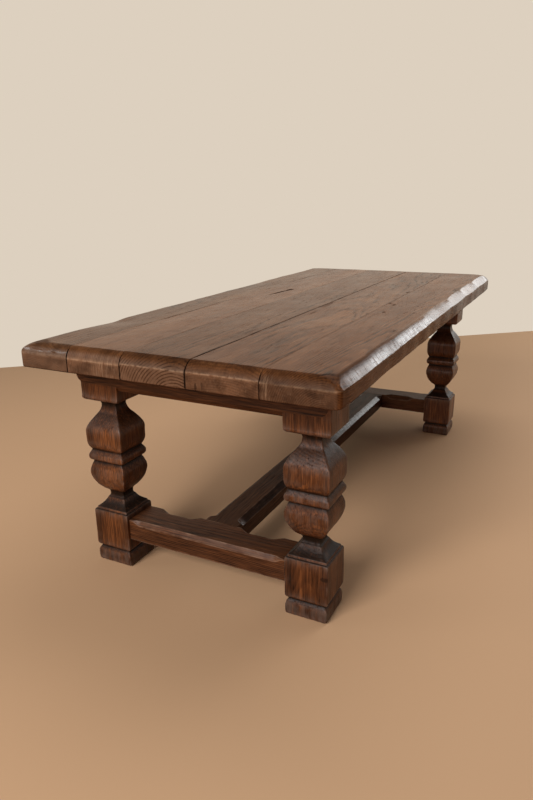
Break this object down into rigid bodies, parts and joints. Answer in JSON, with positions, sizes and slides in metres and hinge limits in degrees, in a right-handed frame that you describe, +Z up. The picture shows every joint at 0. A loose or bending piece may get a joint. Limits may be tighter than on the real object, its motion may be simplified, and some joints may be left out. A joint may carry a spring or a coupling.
{
  "type": "refectory table",
  "caption": "Long oak refectory table with a thick plank top, square baluster legs, cross bearers and an H-shaped stretcher frame.",
  "frame": {"origin": "on the floor, below the middle of the top", "axes": "+X along the table, +Y across it towards the back edge, +Z up"},
  "size_m": [2.11, 0.968, 0.76],
  "materials": {
    "top_wood": "dark waxed oak, satin, worn along the edges",
    "leg_wood": "dark waxed oak, warm brown, grime in the grooves",
    "frame_wood": "dark waxed oak, satin",
    "peg_wood": "paler riven oak, end grain showing",
    "tongue_wood": "planed oak, hidden in the plank joints",
    "screw_steel": "dull steel"
  },
  "bodies": {
    "root": {"top_plank_1": "top_wood", "top_plank_2": "top_wood", "top_plank_3": "top_wood", "top_plank_4": "top_wood", "top_plank_5": "top_wood", "leg_front_left": "leg_wood", "leg_back_left": "leg_wood", "leg_front_right": "leg_wood", "leg_back_right": "leg_wood", "bearer_left": "frame_wood", "bearer_right": "frame_wood", "end_stretcher_left": "frame_wood", "end_stretcher_right": "frame_wood", "centre_stretcher": "frame_wood", "stretcher_pegs_left": "peg_wood", "stretcher_pegs_right": "peg_wood", "bearer_pegs_left": "peg_wood", "bearer_pegs_right": "peg_wood", "centre_stretcher_pegs": "peg_wood", "leg_dowels_left": "peg_wood", "leg_dowels_right": "peg_wood", "plank_tongue_1": "tongue_wood", "plank_tongue_2": "tongue_wood", "plank_tongue_3": "tongue_wood", "plank_tongue_4": "tongue_wood", "top_screws_left": "screw_steel", "top_screws_right": "screw_steel"}
  },
  "joints": []
}
